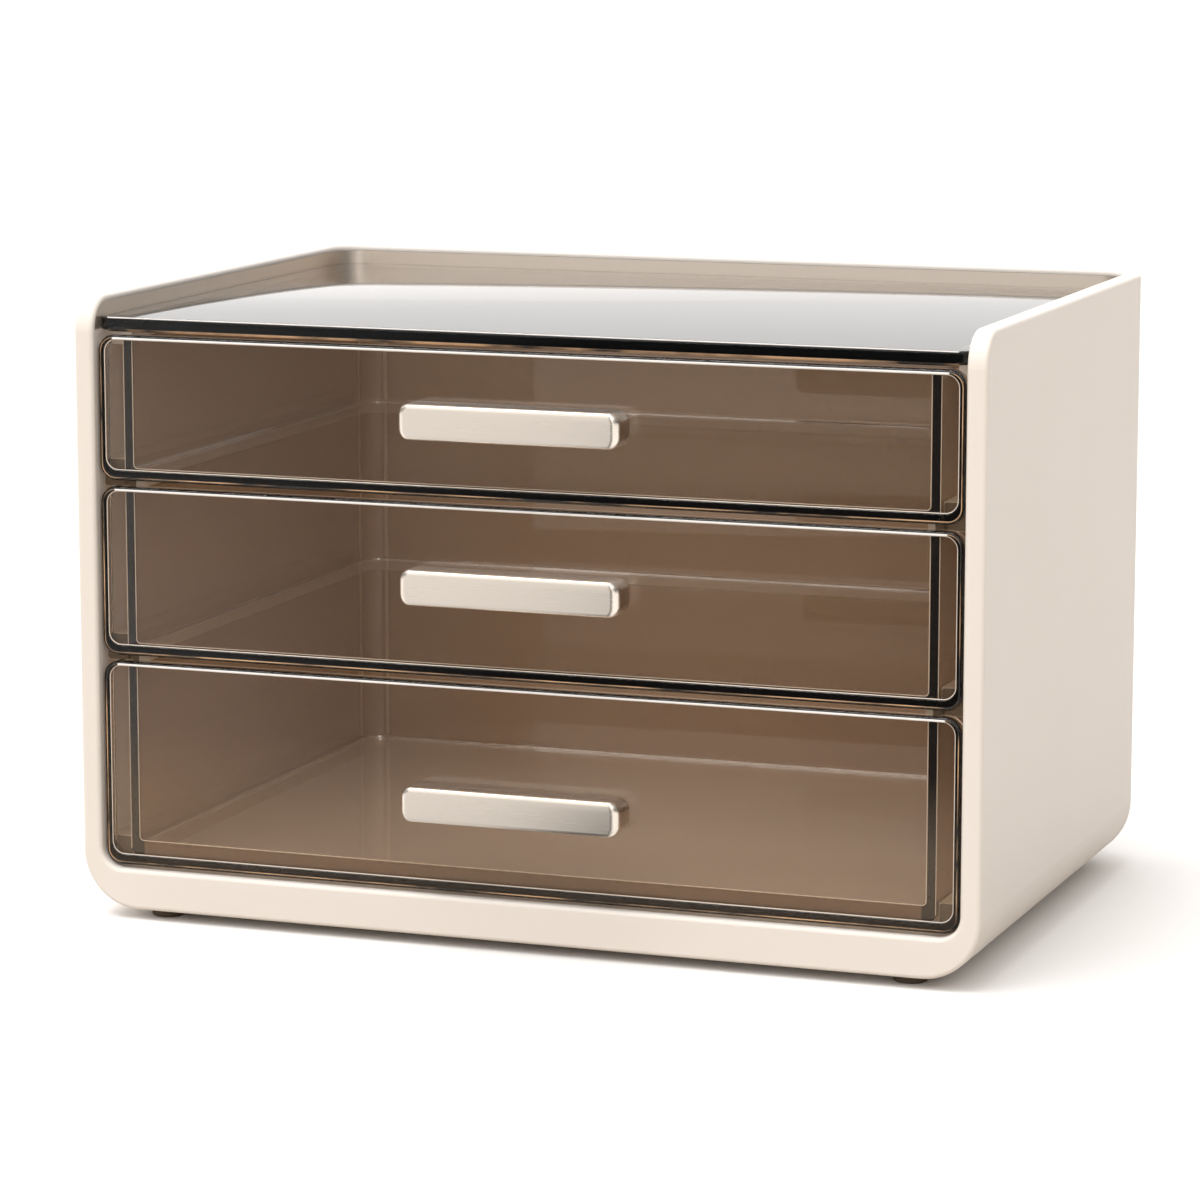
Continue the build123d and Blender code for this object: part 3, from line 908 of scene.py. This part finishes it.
@dataclass
class Studio:
    """White sweep and a bright room, with a key light from the front left and soft patches around."""

    # The floor's paper, what it bounces, and painted reflections: greys that only metal and acrylic mirror of
    # it, in place of dark flags. Greys go by azimuth in degrees, 0 in front of the part and 90 on its right.
    # From floor_near in front of the part's middle backwards the acrylic mirrors floor_near_colour instead, a
    # painted reflection of a lit warm floor, and from floor_far outwards only the greys.
    floor_half: float = 30.0
    floor_colour: str = "#FBFAF9"
    floor_bounced: str = "#BFB5A9"
    floor_in_metal: tuple[tuple[float, float], ...] = (
        (-180, 0.95), (-60, 0.95), (-40, 0.7), (-12, 0.6), (2, 0.1), (8, 0.12), (24, 0.95), (180, 0.95))
    floor_in_acrylic: tuple[tuple[float, float], ...] = (
        (-180, 0.4), (-60, 0.4), (-32, 0.42), (-25, 0.24), (-18, 0.08), (40, 0.08), (90, 0.4), (180, 0.4))
    floor_near: float = 0.28
    floor_far: float = 0.42
    floor_near_colour: str = "#E2CFBB"
    # The key light, a wide sun.
    key_strength: float = 0.4
    key_angle: float = 70.0
    key_from: tuple[float, float, float] = (-0.342, -0.45, 0.82)
    # The room: strengths at the horizon and overhead, and the heights between which one turns to the other.
    room_tint: str = "#FFFDFB"
    horizon: float = 0.35
    zenith: float = 0.8
    horizon_height: float = 0.1
    zenith_height: float = 0.75
    # Patches: direction, inner and outer angle in degrees, and strength, which is negative for a dark flag.
    patches: tuple[Softbox, ...] = (
        Softbox((-0.34, 0.92, 0.18), 5.0, 55.0, 1.2),
        Softbox((-0.2, -0.22, 0.95), 10.0, 26.0, 4.0),
        Softbox((-0.12, -0.85, 0.5), 15.0, 50.0, 0.3),
        Softbox((-0.34, -0.92, 0.17), 6.0, 16.0, 0.8),
        Softbox((0.33, -0.92, 0.18), 3.0, 8.0, 3.0),
        Softbox((0.5, -0.7, 0.55), 10.0, 28.0, 1.1),
        Softbox((0.97, -0.1, 0.25), 15.0, 60.0, -0.22),
        Softbox((-0.9, 0.25, 0.35), 8.0, 16.0, 2.0),
    )
    # How often light may turn, and how many clear layers it may pass.
    bounces: int = 24
    clear_layers: int = 32

    def build_floor(self) -> None:
        """Lay the floor sheet, bright to see, with less bounce, and with painted reflections that make it
        duller in mirrors, as dark flags would.
        """
        half = self.floor_half
        corners = [(-half, -half, 0), (half, -half, 0), (half, half, 0), (-half, half, 0)]
        mesh = bpy.data.meshes.new("floor_sheet")
        mesh.from_pydata(corners, [], [(0, 1, 2, 3)])
        floor = bpy.data.objects.new("floor_sheet", mesh)
        bpy.context.scene.collection.objects.link(floor)
        mesh.materials.append(self.floor_material())

    def floor_material(self) -> bpy.types.Material:
        """Build the floor's paper: what it shows goes by the kind of light path and by the place on it.

        Returns:
            The material.
        """
        # Matt white paper: an even bright ground with no highlight of its own; to metal and acrylic mirrors
        # it shows painted reflections instead.
        material, tree = new_material("white_paper_sweep")
        place = add_node(tree, "TexCoord").outputs["Object"]
        parts = add_node(tree, "SeparateXYZ", links={"Vector": place})
        ahead = add_node(tree, "Math", {1: -1.0}, {0: parts.outputs["Y"]}, operation="MULTIPLY")
        azimuth = add_node(tree, "Math", links={0: parts.outputs["X"], 1: ahead.outputs[0]},
                           operation="ARCTAN2")
        turned = add_node(tree, "MapRange", {"From Min": -math.pi, "From Max": math.pi},
                          {"Value": azimuth.outputs[0]})
        seen = {}
        for ray, greys in ((Ray.GLOSSY, self.floor_in_metal), (Ray.SINGULAR, self.floor_in_acrylic)):
            ramp = add_node(tree, "ValToRGB", links={"Fac": turned.outputs[0]})
            stops = ramp.color_ramp.elements
            for degrees, _ in greys[1:-1]:
                stops.new(0.5 + degrees / 360)
            for stop, (_, grey) in zip(stops, greys):
                stop.color = (grey, grey, grey, 1)
            seen[ray] = ramp.outputs[0]
        # Painted reflection: near the front the acrylic mirrors a warm lit floor.
        near = add_node(tree, "MapRange", {"From Min": -self.floor_far, "From Max": -self.floor_near},
                        {"Value": parts.outputs["Y"]})
        lit = add_node(tree, "Mix", {MIX_SECOND: linear(self.floor_near_colour)},
                       {0: near.outputs[0], MIX_FIRST: seen[Ray.SINGULAR]}, data_type="RGBA")
        seen[Ray.SINGULAR] = lit.outputs[MIX_RESULT]

        path = add_node(tree, "LightPath")
        paper = add_node(tree, "BsdfDiffuse", {"Color": linear(self.floor_colour)})
        bounced = add_node(tree, "BsdfDiffuse", {"Color": linear(self.floor_bounced)})
        shader = add_node(tree, "MixShader", links={0: path.outputs[Ray.DIFFUSE.value], 1: paper.outputs[0],
                                                    2: bounced.outputs[0]})
        for ray, colour in seen.items():
            mirrored = add_node(tree, "BsdfDiffuse", links={"Color": colour})
            shader = add_node(tree, "MixShader", links={0: path.outputs[ray.value], 1: shader.outputs[0],
                                                        2: mirrored.outputs[0]})
        add_node(tree, "OutputMaterial", links={"Surface": shader.outputs[0]})
        return material

    def build_world(self) -> None:
        """Light the room: dim at the horizon, bright overhead, with each soft patch added."""
        world = bpy.data.worlds.new("studio_room")
        bpy.context.scene.world = world
        world.use_nodes = True
        tree = world.node_tree
        tree.nodes.clear()
        way = add_node(tree, "TexCoord").outputs["Generated"]
        parts = add_node(tree, "SeparateXYZ", links={"Vector": way})
        total = add_node(tree, "MapRange", {"From Min": self.horizon_height, "From Max": self.zenith_height,
                                            "To Min": self.horizon, "To Max": self.zenith},
                         {"Value": parts.outputs["Z"]}, interpolation_type="SMOOTHSTEP").outputs[0]
        for patch in self.patches:
            near = add_node(tree, "VectorMath", {1: Vector(patch.towards).normalized()}, {0: way},
                            operation="DOT_PRODUCT")
            glow = add_node(tree, "MapRange", {"From Min": math.cos(math.radians(patch.outer)),
                                               "From Max": math.cos(math.radians(patch.inner)),
                                               "To Min": 0.0, "To Max": patch.strength},
                            {"Value": near.outputs["Value"]}, interpolation_type="SMOOTHSTEP")
            total = add_node(tree, "Math", links={0: total, 1: glow.outputs[0]}).outputs[0]
        light = add_node(tree, "Background", {"Color": linear(self.room_tint)}, {"Strength": total})
        add_node(tree, "OutputWorld", links={"Surface": light.outputs[0]})

    def build_key(self) -> None:
        """Hang the key light."""
        lamp = bpy.data.lights.new("key_soft", "SUN")
        lamp.energy = self.key_strength
        lamp.angle = math.radians(self.key_angle)
        key = bpy.data.objects.new("key_soft", lamp)
        key.rotation_euler = Vector(self.key_from).to_track_quat("Z", "Y").to_euler()
        bpy.context.scene.collection.objects.link(key)

    def build(self) -> None:
        """Set up floor, room, key light and how the picture is taken."""
        self.build_floor()
        self.build_world()
        self.build_key()
        scene = bpy.context.scene
        scene.view_settings.view_transform = "Standard"
        scene.cycles.use_denoising = True
        scene.cycles.max_bounces = self.bounces
        scene.cycles.transmission_bounces = self.bounces
        scene.cycles.transparent_max_bounces = self.clear_layers


@dataclass
class PhotoCamera:
    """Camera at the photograph's angle: right of the front and a little above."""

    azimuth: float = 20.32
    elevation: float = 9.55
    distance: float = 1.629
    target: tuple[float, float, float] = (-0.01031, 0.0023, 0.102)
    focal_px: float = 4623.0
    frame_px: float = 1200.0
    sensor_mm: float = 36.0
    sight: float = 200.0

    def build(self) -> None:
        """Place the camera: it looks back along the direction given by azimuth and elevation."""
        az, el = math.radians(self.azimuth), math.radians(self.elevation)
        back = Vector((math.sin(az) * math.cos(el), -math.cos(az) * math.cos(el), math.sin(el)))
        data = bpy.data.cameras.new("photo_camera")
        data.sensor_width = self.sensor_mm
        data.lens = self.focal_px * self.sensor_mm / self.frame_px
        data.clip_end = self.sight
        camera = bpy.data.objects.new("photo_camera", data)
        camera.location = Vector(self.target) + back * self.distance
        camera.rotation_euler = back.to_track_quat("Z", "Y").to_euler()
        bpy.context.scene.collection.objects.link(camera)
        bpy.context.scene.camera = camera


def main() -> None:
    """Build the organizer's looks in order."""
    logging.basicConfig(level=logging.INFO, format="%(message)s")
    Cabinet().build()
    Shelf().build()
    for tier in Tier:
        Drawer(tier).build()
    Studio().build()
    PhotoCamera().build()


if __name__ == "__main__":
    main()
